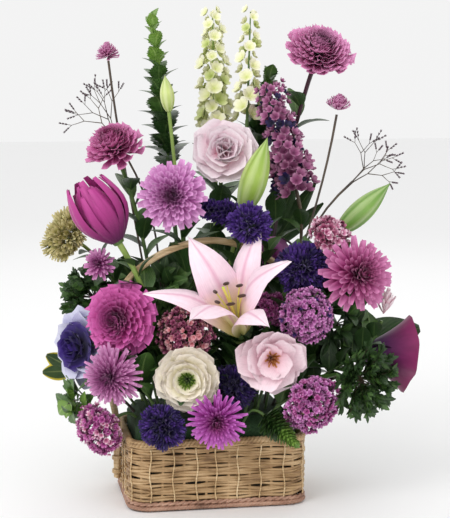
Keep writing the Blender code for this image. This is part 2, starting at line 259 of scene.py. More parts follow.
def new_piece(name, mesh, body_slot, *nodes, smooth=True):
    """Puts a finished mesh in the scene as a piece of the object that stands for CAD nodes."""
    if smooth:
        mesh.shade_smooth()
    piece = bpy.data.objects.new(name, mesh)
    scene.collection.objects.link(piece)
    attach(piece, "root")
    if nodes:
        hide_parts(*nodes)
    return piece


def strands(routes, sides=6, closed=False):
    """A mesh of round strands; each route is a list of (point, radius)."""
    data = bpy.data.curves.new("strands", "CURVE")
    data.dimensions = "3D"
    data.bevel_depth = 1.0
    data.bevel_resolution = {4: 0, 6: 1, 8: 2}[sides]
    data.use_fill_caps = not closed
    for route in routes:
        spline = data.splines.new("POLY")
        spline.points.add(len(route) - 1)
        spline.use_cyclic_u = closed
        for point, (place, radius) in zip(spline.points, route):
            point.co = (*place, 1)
            point.radius = radius
    holder = bpy.data.objects.new("strands", data)
    mesh = bpy.data.meshes.new_from_object(holder)
    bpy.data.objects.remove(holder)
    bpy.data.curves.remove(data)
    return mesh


def around(share, outset):
    """A point on the basket's rounded plan, and the way out, a share of the way round it."""
    straight_x, straight_y = LENGTH - 2 * CORNER, WIDTH - 2 * CORNER
    arc = CORNER * pi / 2
    run = (share % 1.0) * (2 * (straight_x + straight_y) + 4 * arc)
    place, heading = Vector((-straight_x / 2, -WIDTH / 2, 0)), 0.0
    for length, turn in ((straight_x, 0), (arc, 1), (straight_y, 0), (arc, 1)) * 2:
        step = min(run, length)
        forward = Vector((cos(heading), sin(heading), 0))
        left = Vector((-forward.y, forward.x, 0))
        if turn:
            angle = step / CORNER
            place = place + (forward * sin(angle) + left * (1 - cos(angle))) * CORNER
            heading += angle
        else:
            place = place + forward * step
        run -= step
        if run <= 0:
            break
    out = Vector((sin(heading), -cos(heading), 0))
    return place + out * outset, out


PERIMETER = 2 * (LENGTH + WIDTH) - (8 - 2 * pi) * CORNER
STAKES = 2 * round(PERIMETER / STAKE_PITCH / 2)


def woven_courses(rng):
    """Courses of paired reeds that pass outside one stake and inside the next."""
    routes = []
    pitch = (WALL_TOP - WALL_BOTTOM) / COURSES
    steps = STAKES * 6
    for course in range(COURSES):
        for reed in range(2):
            route = []
            drift = rng.uniform(0, tau)
            thick = REED * rng.uniform(0.88, 1.12)
            height = WALL_BOTTOM + pitch * (course + 0.27 + 0.46 * reed)
            for step in range(steps):
                share = step / steps
                weave = cos(pi * STAKES * share + pi * course)
                wander = 0.0007 * sin(share * 23 + drift) + 0.0005 * sin(share * 61 + drift * 2)
                place, _ = around(share, -COURSE_INSET + WEAVE_SWING * weave)
                knobble = 1 + 0.10 * sin(share * 97 + drift)
                route.append((place + UP * (height + wander), thick * knobble))
            routes.append(route)
    return routes


def rope(outset, level, lay, strand, turns, count, phase=0.0):
    """Strands twisted together round the basket's plan."""
    routes = []
    steps = int(turns * 7)
    for k in range(count):
        route = []
        for step in range(steps):
            share = step / steps
            angle = tau * (turns * share + k / count) + phase
            place, out = around(share, outset + lay * cos(angle))
            route.append((place + UP * (level + lay * sin(angle)), strand))
        routes.append(route)
    return routes


rng = random.Random(4)
wall_bm = bmesh.new()
wall_bm.from_mesh(strands(woven_courses(rng), 6, closed=True))
stakes = []
for stake in range(STAKES):
    lean = rng.uniform(-0.12, 0.12) / STAKES
    share = (stake + 0.5) / STAKES
    stakes.append([
        (
            around(share + lean * t, -STAKE_INSET)[0] + UP * (
                WALL_BOTTOM + (WALL_TOP - WALL_BOTTOM) * t
            ),
            STAKE_RADIUS,
        )
        for t in (0, 0.25, 0.5, 0.75, 1)
    ])
wall_bm.from_mesh(strands(stakes, 6))
first_twine = len(wall_bm.faces)
twines = []
for stake in range(STAKES):
    share = (stake + rng.uniform(-0.08, 0.08)) / STAKES
    beats = COURSES * 4
    route = []
    for step in range(beats + 1):
        t = step / beats
        sway = 0.0011 * sin(t * 9 + stake) / PERIMETER
        outset = 0.0004 + 0.0011 * abs(sin(pi * COURSES * t + 0.4))
        place, _ = around(share + sway, outset)
        route.append((place + UP * (WALL_BOTTOM + (WALL_TOP - WALL_BOTTOM) * t), TWINE_RADIUS))
    twines.append(route)
wall_bm.from_mesh(strands(twines, 6))
wall_bm.faces.ensure_lookup_table()
for face in wall_bm.faces[first_twine:]:
    face.material_index = 1
wall_mesh = finished(wall_bm, "basket_wall_weave")
wall_mesh.materials.append(CANE)
wall_mesh.materials.append(CANE_PALE)
new_piece("basket_wall_weave", wall_mesh, "cane", "basket_wall")

rim_low, rim_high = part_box("basket_rim")
rim_mesh = strands(
    rope(-0.003, (rim_low[2] + rim_high[2]) / 2, 0.0026, 0.0021, 46, 3)
    + rope(-0.0008, rim_low[2] + 0.0012, 0.0006, 0.0014, 20, 1)
    + rope(-0.0062, rim_low[2] + 0.0012, 0.0006, 0.0014, 20, 1),
    6,
    closed=True,
)
rim_mesh.materials.append(CANE)
new_piece("basket_rim_rope", rim_mesh, "cane", "basket_rim")

foot_routes = rope(-0.0012, 0.0036, 0.0012, 0.0018, 52, 3) + rope(-0.0016, 0.0084, 0.0011, 0.0017, 40, 2)
base_bm = bmesh.new()
base_bm.from_mesh(strands(foot_routes, 6, closed=True))
slats = []
half_x, half_y = LENGTH / 2 - 0.006, WIDTH / 2 - 0.006
slat_count = 34
slat_radius = 0.0022
for k in range(slat_count):
    y = -half_y + 2 * half_y * (k + 0.5) / slat_count
    overrun = max(0.0, abs(y) - (half_y - CORNER * 0.8))
    end = half_x - overrun * 0.9
    slats.append([
        (
            Vector((x / 12 * end, y, 0.0034 + 0.0010 * cos(pi * (x + k)))), slat_radius
        ) for x in range(-12, 13)
    ])
base_bm.from_mesh(strands(slats, 6))
base_mesh = finished(base_bm, "basket_base_weave")
base_mesh.materials.append(CANE_FOOT)
new_piece("basket_base_weave", base_mesh, "cane", "basket_base")

# === Cane handle ===
# One thick rod of peeled cane, steamed and bent to a hoop, with thinner canes laid along it. Its ends
# are pushed down the outside of the end walls and lashed to the rim with split cane.

ROD_RADIUS = 0.0045
HOOP_FLARE = 0.011
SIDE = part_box("basket_handle")[1][0] - ROD_RADIUS - HOOP_FLARE
hoop_half = [
    (SIDE, 0.022), (SIDE, 0.050), (SIDE, 0.080), (SIDE + 0.006, 0.120), (SIDE + HOOP_FLARE, 0.160),
    (SIDE + 0.010, 0.200), (SIDE, 0.231), (0.087, 0.260), (0.058, 0.281), (0.030, 0.292),
]
hoop = [Vector((x, 0, z)) for x, z in hoop_half + [(0, 0.296)] + [(-x, z) for x, z in reversed(hoop_half)]]


def eased(points, per_span=6):
    """A smooth line through points."""
    ends = [points[0] * 2 - points[1]] + list(points) + [points[-1] * 2 - points[-2]]
    line = []
    for a, b, c, d in zip(ends, ends[1:], ends[2:], ends[3:]):
        for step in range(per_span):
            t = step / per_span
            line.append(
                0.5 * (
                    2 * b + (c - a) * t + (
                        2 * a - 5 * b + 4 * c - d
                    ) * t * t + (3 * b - a - 3 * c + d) * t**3
                )
            )
    return line + [points[-1]]


hoop_line = eased(hoop)
rods = [[(p, 0.0030) for p in hoop_line]]
for turn in range(3):
    angle = tau * turn / 3
    rod = []
    for index, p in enumerate(hoop_line):
        ahead = hoop_line[min(index + 1, len(hoop_line) - 1)] - hoop_line[max(index - 1, 0)]
        normal = Vector((0, 1, 0)).cross(ahead).normalized()
        swing = angle + index * 0.11
        rod.append((p + (normal * cos(swing) + Vector((0, 1, 0)) * sin(swing)) * 0.0024, 0.0021))
    rods.append(rod)
lashings = []
for side in (-1, 1):
    for level in (0.030, 0.046, 0.0775):
        coil = []
        for step in range(49):
            angle = tau * step / 12
            place = Vector(
                (
                    side * SIDE + 0.0056 * cos(angle),
                    0.0056 * sin(angle),
                    level + 0.0011 * (step / 12 - 2),
                )
            )
            coil.append((place, 0.0008))
        lashings.append(coil)
handle_bm = bmesh.new()
handle_bm.from_mesh(strands(rods, 8))
handle_bm.from_mesh(strands(lashings, 6))
handle_mesh = finished(handle_bm, "basket_handle_hoop")
handle_mesh.materials.append(CANE_PALE)
new_piece("basket_handle_hoop", handle_mesh, "pale_cane", "basket_handle")

# === Liner and foam ===
# A thin black vacuum-formed tray keeps water off the cane. The wet foam block in it is cut with a
# knife, so it is open-celled and matt.

liner = Finish("liner_plastic", roughness=0.35)
liner.feed(
    "Base Color", liner.ramp(liner.grain(60), (0.3, (0.012, 0.013, 0.012)), (0.7, (0.03, 0.032, 0.03)))
)
liner.bump(liner.grain(220), 0.15, 0.0003)
liner_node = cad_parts["liner_tray"]
liner_node.data.materials.clear()
liner_node.data.materials.append(liner.material)

foam = Finish("floral_foam", roughness=0.95)
cells = foam.grain(900, 2)
foam.feed(
    "Base Color",
    foam.ramp(
        cells * 0.6 + foam.grain(60) * 0.4, (0.3, (0.006, 0.02, 0.006)), (0.7, (0.035, 0.09, 0.03))
    ),
)
foam.bump(cells, 0.8, 0.0008)
foam_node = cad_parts["floral_foam"]
foam_node.data.materials.clear()
foam_node.data.materials.append(foam.material)

# === Stems ===
# Every flower stands on its own cut stem, pushed into the foam. The stem's line runs straight up out
# of the foam and then bends over to the bloom, which it meets square on.

FOOT_DEPTH = 0.046
LOWEST_LEAF = 0.115
BARE_STEM = 0.0015
GOLDEN_TURN = 2.39996
BOW = 0.42


class Stem:
    """Where a cut stem and its bloom stand, read from their solid in the frame."""

    def __init__(self, node):
        self.node = node
        bm = bmesh.new()
        bm.from_mesh(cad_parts[node].data)
        bmesh.ops.remove_doubles(bm, verts=bm.verts, dist=0.00002)
        bmesh.ops.dissolve_limit(bm, angle_limit=radians(0.4), verts=bm.verts, edges=bm.edges)
        caps = []
        for face in bm.faces:
            centre = sum((v.co for v in face.verts), Vector()) / len(face.verts)
            reach = [(v.co - centre).length for v in face.verts]
            if len(face.verts) >= 6 and max(reach) < 2.1 * min(reach):
                caps.append((centre, face.normal.copy(), max(reach)))
        foot = min(caps, key=lambda cap: cap[0].z)
        top = max(caps, key=lambda cap: (cap[0] - foot[0]).length)
        self.foot, self.entry, self.stem = foot[0], -foot[1], foot[2]
        self.face, self.facing = top[0], top[1]
        rings = {}
        for vert in bm.verts:
            offset = vert.co - self.face
            along = offset.dot(self.facing)
            rings.setdefault(round(along * 20000), []).append(
                (along, (offset - self.facing * along).length)
            )
        rows = sorted((max(a for a, _ in r), max(w for _, w in r), len(r)) for r in rings.values())
        rows = [row for row in rows if row[2] >= 6][::-1]
        self.radius = max(width for _, width, _ in rows)
        widest = next(k for k, row in enumerate(rows) if row[1] > self.radius * 0.99)
        neck = next((row for row in rows[widest:] if row[1] < self.stem * 1.02), rows[-1])
        self.length = rows[0][0] - neck[0]
        self.neck = self.face + self.facing * neck[0]
        bm.free()

    def line(self, steps=14):
        """Points on the stem's centre line, from the cut end to the neck."""
        start = self.foot + self.entry * FOOT_DEPTH
        reach = (self.neck - start).length * BOW
        a, b, c, d = start, start + self.entry * reach, self.neck - self.facing * reach, self.neck
        points = [self.foot, self.foot + self.entry * FOOT_DEPTH * 0.5]
        for step in range(steps + 1):
            t = step / steps
            s = 1 - t
            points.append(a * s**3 + b * (3 * s * s * t) + c * (3 * s * t * t) + d * t**3)
        return points

    def placing(self):
        """Turns the bloom's own space, which looks along +Z from the neck, into the arrangement's."""
        side = (OUTWARD + UP * 0.25).cross(self.facing)
        side = side.normalized() if side.length > 0.15 else RIGHT.copy()
        side = (side - self.facing * side.dot(self.facing)).normalized()
        over = self.facing.cross(side)
        turn = Matrix((side, over, self.facing)).transposed().to_4x4()
        return Matrix.Translation(self.neck) @ turn


class Bloom:
    """A piece being put together in its own space: the stem, then petals, florets or leaves."""

    def __init__(self, node, *finishes):
        self.stem = Stem(node)
        self.finishes = finishes
        self.bm = bmesh.new()
        self.bm.loops.layers.uv.new("UVMap")
        # ring runs from 0 at a head's heart to 1 at its rim; finishes with an inner colour read it to
        # paint shade deep in the head.
        self.ring = self.bm.verts.layers.float.new("ring")
        self.rng = random.Random(node + "1")
        self.place = self.stem.placing()
        self.radius, self.length = self.stem.radius, self.stem.length
        self.add_stem()

    def add_mesh(self, mesh, matrix, material=0, ring=0.5):
        first_vert, first_face = len(self.bm.verts), len(self.bm.faces)
        self.bm.from_mesh(mesh)
        self.bm.verts.ensure_lookup_table()
        self.bm.faces.ensure_lookup_table()
        fresh = self.bm.verts[first_vert:]
        if matrix is not None:
            bmesh.ops.transform(self.bm, matrix=matrix, verts=fresh)
        for vert in fresh:
            vert[self.ring] = ring
        for face in self.bm.faces[first_face:]:
            face.material_index = material
        return fresh

    def add_stem(self):
        points = self.stem.line()
        count = len(points) - 1
        swell = 1.35 if self.radius > 0.02 else 1.15
        route = [(p, self.stem.stem * (1 + (swell - 1) * (k / count) ** 6)) for k, p in enumerate(points)]
        self.add_mesh(strands([route], 8), None, 0)

    def add_core(self, thinning):
        """The stem carried on through a long head, thinner towards the tip."""
        core = [
            (self.place @ Vector((0, 0, self.length * t)), self.stem.stem * (1 - thinning * t))
            for t in (0, 0.25, 0.5, 0.75, 0.97)
        ]
        self.add_mesh(strands([core], 6), None, 0)

    def stamp(self, mesh, matrix, material=1, ring=0.5):
        return self.add_mesh(mesh, self.place @ matrix, material, ring)

    def dress(self, count=16):
        """Leaves that stand off the stem wherever it is clear of the foam."""
        points = self.stem.line(26)
        first = len(self.finishes)
        self.finishes += (LEAF_DARK, LEAF_MID)
        size = 0.030 + 0.5 * min(self.radius, 0.040)
        for k in range(count):
            index = 6 + int((len(points) - 10) * (k + 0.5) / count)
            place, ahead = points[index], (points[index + 1] - points[index]).normalized()
            turn = k * GOLDEN_TURN + self.rng.uniform(-0.4, 0.4)
            grown = size * self.rng.uniform(0.75, 1.15)
            if place.z < LOWEST_LEAF:
                continue
            side = ahead.cross(OUTWARD + UP * 0.1).normalized()
            out = side * cos(turn) + ahead.cross(side) * sin(turn) * 0.7
            turned = turned_to(out + ahead * 0.6, "Y", "Z")
            self.add_mesh(
                oval_leaf,
                Matrix.Translation(place) @ turned @ Matrix.Scale(grown, 4),
                first + k % 3 // 2,
            )

    def finish(self, slot):
        if slot.startswith("petal") and self.stem.stem > BARE_STEM:
            self.dress()
        mesh = finished(self.bm, self.stem.node + "_cut")
        for material in self.finishes:
            mesh.materials.append(material)
        return new_piece(self.stem.node + "_cut", mesh, slot, self.stem.node)


def stem_finish(name, young, old):
    stem = Finish(name, roughness=0.5, coat=0.1)
    streak = stem.grain(70, 4, (1, 1, 0.15))
    stem.feed("Base Color", stem.ramp(streak, (0.3, old), (0.7, young)))
    stem.bump(streak, 0.3, 0.0004)
    return stem.material


STEM_GREEN = stem_finish("stem_green", (0.13, 0.23, 0.05), (0.045, 0.10, 0.025))
STEM_LIME = stem_finish("stem_lime", (0.33, 0.45, 0.10), (0.16, 0.27, 0.05))
STEM_PURPLE = stem_finish("stem_purple", (0.075, 0.02, 0.04), (0.02, 0.008, 0.012))
STEM_BROWN = stem_finish("stem_brown", (0.12, 0.085, 0.05), (0.035, 0.022, 0.018))

# === Petals ===
# A petal is a thin blade that narrows to a claw, cups along its middle and rolls at its tip. Colour
# deepens or pales from claw to tip, and fine veins run along it.


def blade(rows, columns, outline, lift, cup=0.0, ruffle=0.0, waves=3.0, point=0.0):
    """A petal or leaf of unit length along +Y: outline(t) is its half width, lift(t) its height."""
    bm = bmesh.new()
    bm.loops.layers.uv.new("UVMap")
    bmesh.ops.create_grid(bm, x_segments=columns, y_segments=rows, size=0.5, calc_uvs=True)
    for vert in bm.verts:
        across, t = vert.co.x * 2, vert.co.y + 0.5
        half = outline(t)
        edge = across * across
        vert.co.x = across * half
        vert.co.y = t - point * edge * half
        vert.co.z = lift(t) + cup * edge * half
        vert.co.z += ruffle * edge * sin(across * 1.7 + t * tau * waves) * t
    return finished(bm, "blade")


DEPTH = 1.38


def deepen(colour):
    """Deepens a petal colour, most where it is already dark."""
    return tuple(channel**DEPTH for channel in colour)


def petal_finish(name, claw, middle, tip, vein=0.25, rough=0.5, inner=None, grainy=0.18, rib=None):
    petal = Finish(name, roughness=rough, sheen=0.15)
    across, along = petal.along()
    mapped = petal.node("ShaderNodeTexCoord", out=2)
    lines = petal.grain(9, 2, (5.0, 0.55, 1), mapped)
    colour = petal.ramp(along, (0.05, deepen(claw)), (0.5, deepen(middle)), (0.97, deepen(tip)))
    if rib is not None:
        from_rib = petal.node("ShaderNodeMath", {"operation": "ABSOLUTE"}, across - 0.5)
        colour = petal.blend(petal.ramp(from_rib, (0.0, (0.8, 0.8, 0.8)), (0.10, (0, 0, 0))), colour, rib)
    shade = lines * vein + petal.grain(160, 3) * grainy + (1 - 0.5 * vein - 0.5 * grainy)
    lit = petal.node("ShaderNodeCombineColor", None, shade, shade, shade)
    colour = petal.blend(1.0, colour, lit, "MULTIPLY")
    # Painted shade: where a finish has an inner colour, petals and florets with a low ring value, deep in
    # a head, are blended towards that darker colour in place of the shade that falls between them.
    if inner is not None:
        share = petal.ramp(petal.attribute("ring"), (0.0, (1, 1, 1)), (0.55, (0, 0, 0)))
        colour = petal.blend(share, colour, deepen(inner))
    petal.feed("Base Color", colour)
    petal.bump(lines, 0.25, 0.0006)
    return petal.material


def turned_to(direction, axis="Z", up="Y"):
    return direction.to_track_quat(axis, up).to_matrix().to_4x4()


def scatter(rng, reach):
    return Vector([rng.uniform(-reach, reach) for _ in range(3)])


def spun(turn, tilt, root, size, roll=0.0):
    """Places a unit petal: turned round the bloom, tilted from its axis, and scaled."""
    return (
        Matrix.Rotation(turn, 4, "Z")
        @ Matrix.Translation(root)
        @ Matrix.Rotation(pi / 2 - tilt, 4, "X")
        @ Matrix.Rotation(roll, 4, "Y")
        @ Matrix.Scale(size, 4)
    )


def rosette(bloom, petal, rings, root_height, material=1, jitter=0.12):
    """Rings of petals round the axis: each is (count, tilt, size, ring share, root radius, height)."""
    for count, tilt, size, share, root, height in rings:
        start = bloom.rng.uniform(0, tau)
        for k in range(count):
            wobble = bloom.rng.uniform(-jitter, jitter)
            bloom.stamp(
                petal,
                spun(
                    start + tau * (k + wobble) / count,
                    tilt + wobble * 0.9,
                    Vector((0, root, root_height + height)),
                    size * (1 + wobble * 0.7),
                    roll=wobble * 1.5,
                ),
                material,
                share,
            )


# === Leaves ===
# Leaf blades with a midrib and side veins: entire, toothed and tiny ones. Florists leave some on the upper
# stems, where they close the spaces between the blooms.


def leaf_finish(name, deep, mid, vein, rough=0.42, edge=None):
    leaf = Finish(name, roughness=rough, coat=0.12)
    across, along = leaf.along()
    mapped = leaf.node("ShaderNodeTexCoord", out=2)
    from_rib = leaf.node("ShaderNodeMath", {"operation": "ABSOLUTE"}, across - 0.5)
    rib = leaf.ramp(from_rib, (0.0, (1, 1, 1)), (0.05, (0, 0, 0)))
    sides = leaf.node("ShaderNodeMath", {"operation": "SINE"}, (along + from_rib * -0.9) * 75.0)
    patch = leaf.grain(45, 3)
    base = leaf.ramp(patch * 0.7 + leaf.grain(12, 3, (4, 0.6, 1), mapped) * 0.3, (0.3, deep), (0.7, mid))
    tone = leaf.blend(rib, leaf.blend(sides * 0.10 + 0.08, base, vein), vein)
    if edge is not None:
        tone = leaf.blend(leaf.ramp(from_rib, (0.36, (0, 0, 0)), (0.42, (1, 1, 1))), tone, edge)
    leaf.feed("Base Color", tone)
    leaf.bump(sides * 0.5 + patch, 0.35, 0.0006)
    return leaf.material


LEAF_DARK = leaf_finish("leaf_dark", (0.010, 0.035, 0.010), (0.035, 0.095, 0.020), (0.10, 0.17, 0.05))
LEAF_MID = leaf_finish("leaf_mid", (0.025, 0.075, 0.015), (0.075, 0.17, 0.03), (0.17, 0.28, 0.08))
LEAF_FRESH = leaf_finish("leaf_fresh", (0.08, 0.19, 0.02), (0.20, 0.36, 0.05), (0.34, 0.48, 0.14))
LEAF_EDGED = leaf_finish(
    "leaf_edged", (0.02, 0.05, 0.015), (0.05, 0.11, 0.03), (0.2, 0.25, 0.08), edge=(0.75, 0.62, 0.05)
)


def serrated(t, teeth=6):
    return 0.02 + 0.38 * sin(pi * min(1, 0.04 + t * 0.95)) ** 0.8 * (1 + 0.28 * (t * teeth % 1.0))


oval_leaf = blade(
    8,
    4,
    lambda t: 0.02 + 0.25 * sin(pi * min(1, t * 0.98)) ** 0.9,
    lambda t: 0.10 * sin(pi * t),
    cup=0.3,
    point=0.2,
)
tooth_leaf = blade(24, 4, serrated, lambda t: 0.12 * sin(pi * t) - 0.1 * t * t, cup=0.3, point=0.3)
tiny_leaf = blade(3, 2, lambda t: 0.05 + 0.20 * sin(pi * min(1, t)), lambda t: 0.1 * t * t, cup=0.4)

# === Lily ===
# A wide open pink-white lily: three broad inner petals over three narrower outer ones, each with a
# raised midrib and rolled back at its tip, round a yellow throat, six stamens and a long style.

lily_outer = blade(
    14,
    8,
    lambda t: 0.035 * (1 - t**6) + 0.125 * sin(pi * min(1, t * 1.02)) ** 0.9 * (1 - 0.25 * t),
    lambda t: 0.16 * sin(pi * t * 0.9) - 0.34 * max(0, t - 0.62) ** 1.4,
    cup=-0.35,
    ruffle=0.010,
    waves=2.0,
)
lily_inner = blade(
    14,
    10,
    lambda t: 0.035 * (1 - t**6) + 0.185 * sin(pi * min(1, t * 1.02)) ** 0.85 * (1 - 0.22 * t),
    lambda t: 0.20 * sin(pi * t * 0.85) - 0.30 * max(0, t - 0.6) ** 1.4,
    cup=-0.30,
    ruffle=0.022,
    waves=2.5,
)
LILY_PETAL = petal_finish(
    "lily_petal", (0.84, 0.80, 0.34), (0.93, 0.74, 0.82), (0.95, 0.83, 0.88), vein=0.30,
    rib=(0.72, 0.36, 0.50),
)
LILY_GREEN = petal_finish(
    "lily_throat", (0.60, 0.68, 0.14), (0.90, 0.86, 0.26), (0.92, 0.88, 0.24), vein=0.2
)
ANTHER = petal_finish(
    "lily_anther", (0.10, 0.05, 0.01), (0.16, 0.08, 0.02), (0.10, 0.05, 0.02), grainy=0.6
)
lily = Bloom("lily", STEM_GREEN, LILY_PETAL, LILY_GREEN, ANTHER)
span = hypot(lily.radius, lily.length)
open_angle = atan2(lily.radius, lily.length)
for k in range(6):
    inner = k % 2
    lily.stamp(
        lily_inner if inner else lily_outer,
        spun(
            tau * k / 6 + 0.30,
            open_angle + (0.05 if inner else 0.16),
            Vector((0, 0.002, 0.006 + 0.002 * inner)),
            span * (1.0 if inner else 1.02),
        ),
        1,
        1.0,
    )
threads = []
for k in range(6):
    turn = tau * k / 6 + 0.1
    lean = Vector((sin(turn), cos(turn), 0))
    threads.append(
        [
            (
                lily.place @ (lean * (0.002 + 0.014 * t * t) + UP * (0.012 + 0.062 * t)),
                0.0011 - 0.0004 * t,
            )
            for t in (0, 0.25, 0.5, 0.75, 1)
        ]
    )
style = [
    (lily.place @ (UP * (0.012 + 0.080 * t) + Vector((0.004 * t * t, 0.006 * t * t, 0))), 0.0018)
    for t in (0, 0.25, 0.5, 0.75, 1)
]
lily.add_mesh(strands(threads + [style], 6), None, 2)
anther_mesh = strands(
    [
        [
            (Vector((0, -0.006, 0)), 0.0009),
            (Vector((0, -0.003, 0)), 0.0020),
            (Vector((0, 0.003, 0)), 0.0020),
            (Vector((0, 0.006, 0)), 0.0009),
        ]
    ],
    8,
)
for thread in threads:
    lily.add_mesh(
        anther_mesh,
        Matrix.Translation(thread[-1][0]) @ Matrix.Rotation(lily.rng.uniform(0, pi), 4, "Z"),
        3,
    )
lily.finish("petal_blush")

# === Buds ===
# Unopened lily buds: three long petals closed edge to edge, so that the bud is ribbed along its
# length, lime green and paler along the ribs.


def ribbed_bud(bloom, ribs=6, hook=0.0):
    bm = bmesh.new()
    bm.loops.layers.uv.new("UVMap")
    bmesh.ops.create_grid(bm, x_segments=36, y_segments=14, size=0.5, calc_uvs=True)
    for vert in bm.verts:
        turn, t = (vert.co.x + 0.5) * tau, vert.co.y + 0.5
        swell = (sin(pi * min(1, t * 0.94 + 0.06)) ** 0.75) * (1.05 - 0.35 * t)
        width = bloom.radius * (0.12 + 0.95 * swell) * (1 + 0.07 * cos(ribs * turn))
        width *= 1 - t**8
        vert.co = Vector((width * cos(turn) + hook * t * t, width * sin(turn), bloom.length * t))
    bmesh.ops.remove_doubles(bm, verts=bm.verts, dist=0.00005)
    bmesh.ops.recalc_face_normals(bm, faces=bm.faces)
    mesh = finished(bm, "ribbed_bud")
    bloom.stamp(mesh, Matrix.Identity(4), 1)


def bud_finish(name, low, high, rib):
    bud = Finish(name, roughness=0.42, coat=0.15)
    across, along = bud.along()
    mapped = bud.node("ShaderNodeTexCoord", out=2)
    stripes = bud.node("ShaderNodeMath", {"operation": "SINE"}, across * (tau * 6))
    fine = bud.grain(14, 3, (9.0, 0.5, 1), mapped)
    base = bud.ramp(along, (0.0, low), (0.55, high), (1.0, low))
    tone = bud.blend(stripes * 0.30 + fine * 0.5, base, rib)
    bud.feed("Base Color", tone)
    bud.bump(fine + stripes * 0.3, 0.35, 0.0008)
    return bud.material


BUD_LIME = bud_finish("bud_lime", (0.20, 0.34, 0.04), (0.36, 0.52, 0.08), (0.66, 0.78, 0.34))
BUD_GREEN = bud_finish("bud_green", (0.10, 0.24, 0.03), (0.20, 0.38, 0.06), (0.52, 0.66, 0.30))
BUD_YOUNG = bud_finish("bud_young", (0.30, 0.42, 0.08), (0.58, 0.68, 0.22), (0.78, 0.84, 0.45))
for node, material, hook in (
    ("lily_bud_centre", BUD_LIME, 0.002),
    ("lily_bud_upper", BUD_YOUNG, 0.0),
    ("lily_bud_right", BUD_GREEN, 0.003),
):
    bud = Bloom(node, STEM_LIME, material)
    ribbed_bud(bud, hook=hook)
    bud.finish("bud")

# === Lisianthus ===
# Double lisianthus: layer on layer of broad, thin, ruffled petals, wound up tight at the heart of
# a half-open bloom and laid flat round the eye of an open one.

round_petal = blade(
    7,
    8,
    lambda t: 0.10 + 0.50 * sin(pi * min(1.0, 0.10 + t * 0.80)) ** 0.7,
    lambda t: 0.18 * t * t,
    cup=0.25,
    ruffle=0.045,
    waves=1.3,
)
frill_petal = blade(
    7,
    8,
    lambda t: 0.10 + 0.46 * sin(pi * min(1.0, 0.10 + t * 0.78)) ** 0.7,
    lambda t: 0.10 * t * t,
    cup=0.18,
    ruffle=0.085,
    waves=2.2,
)
BLUSH = petal_finish(
    "lisianthus_blush", (0.86, 0.42, 0.52), (0.94, 0.76, 0.82), (0.97, 0.90, 0.93), vein=0.22
)
PALE = petal_finish(
    "lisianthus_pale", (0.90, 0.55, 0.62), (0.93, 0.72, 0.78), (0.95, 0.82, 0.86), vein=0.34
)
CREAM = petal_finish(
    "lisianthus_cream", (0.62, 0.66, 0.30), (0.90, 0.85, 0.66), (0.94, 0.88, 0.80), vein=0.26
)
LILAC_SHEET = petal_finish(
    "lisianthus_lilac", (0.42, 0.08, 0.34), (0.62, 0.24, 0.56), (0.72, 0.38, 0.66), vein=0.3
)
VIOLET_SHEET = petal_finish(
    "lisianthus_violet", (0.04, 0.015, 0.14), (0.07, 0.03, 0.24), (0.12, 0.06, 0.34), vein=0.3
)
PALE_LILAC = petal_finish(
    "lisianthus_outer", (0.36, 0.34, 0.58), (0.62, 0.60, 0.80), (0.80, 0.80, 0.92), vein=0.3
)
EYE_GREEN = petal_finish(
    "eye_green", (0.10, 0.20, 0.02), (0.20, 0.32, 0.04), (0.30, 0.40, 0.06), grainy=0.6
)
EYE_ORANGE = petal_finish(
    "eye_orange", (0.35, 0.12, 0.03), (0.55, 0.25, 0.08), (0.66, 0.36, 0.12), grainy=0.6
)

top = Bloom("lisianthus_top", STEM_GREEN, BLUSH)
R = top.radius
rosette(top, frill_petal, [
    (7, radians(88), R * 0.98, 1.0, 0.002, 0.002), (7, radians(74), R * 0.92, 0.9, 0.002, 0.004),
    (6, radians(60), R * 0.84, 0.8, 0.002, 0.006), (6, radians(46), R * 0.76, 0.6, 0.002, 0.008),
    (5, radians(32), R * 0.68, 0.4, 0.002, 0.009), (4, radians(20), R * 0.60, 0.2, 0.001, 0.010),
    (3, radians(9), R * 0.54, 0.1, 0.001, 0.011),
], 0.006)
top.finish("petal_blush")


def thimble(bloom, count, size, reach, height, material, mesh):
    """A tight dome of small parts at the heart of a bloom."""
    for k in range(count):
        share = (k + 0.5) / count
        turn = k * GOLDEN_TURN
        tilt = radians(80) * sqrt(share)
        bloom.stamp(mesh, spun(turn, tilt, Vector((0, reach * sqrt(share), height)), size), material, 0.2)


tick = blade(3, 2, lambda t: 0.16 * (1 - t * 0.5), lambda t: 0.1 * t, cup=0.3)
cream = Bloom("lisianthus_cream", STEM_GREEN, CREAM, EYE_GREEN)
R = cream.radius
rosette(cream, frill_petal, [
    (13, radians(92), R * 0.86, 1.0, 0.006, 0.002), (13, radians(80), R * 0.80, 0.9, 0.006, 0.006),
    (12, radians(68), R * 0.70, 0.8, 0.006, 0.010), (11, radians(56), R * 0.58, 0.6, 0.006, 0.013),
    (10, radians(42), R * 0.44, 0.5, 0.006, 0.015),
], 0.004)
thimble(cream, 60, 0.008, 0.008, 0.020, 2, tick)
cream.finish("petal_cream")

pale = Bloom("lisianthus_pale", STEM_GREEN, PALE, EYE_ORANGE)
R = pale.radius
rosette(pale, frill_petal, [
    (6, radians(86), R * 0.98, 1.0, 0.002, 0.002), (6, radians(74), R * 0.94, 0.9, 0.002, 0.005),
    (6, radians(62), R * 0.86, 0.8, 0.002, 0.008), (5, radians(52), R * 0.70, 0.7, 0.002, 0.010),
], 0.004, jitter=0.3)
pale.stamp(round_petal, spun(radians(200), radians(150), Vector((0, 0.004, 0.004)), R * 0.95), 1, 1.0)
thimble(pale, 34, 0.010, 0.004, 0.014, 2, tick)
pale.finish("petal_blush")

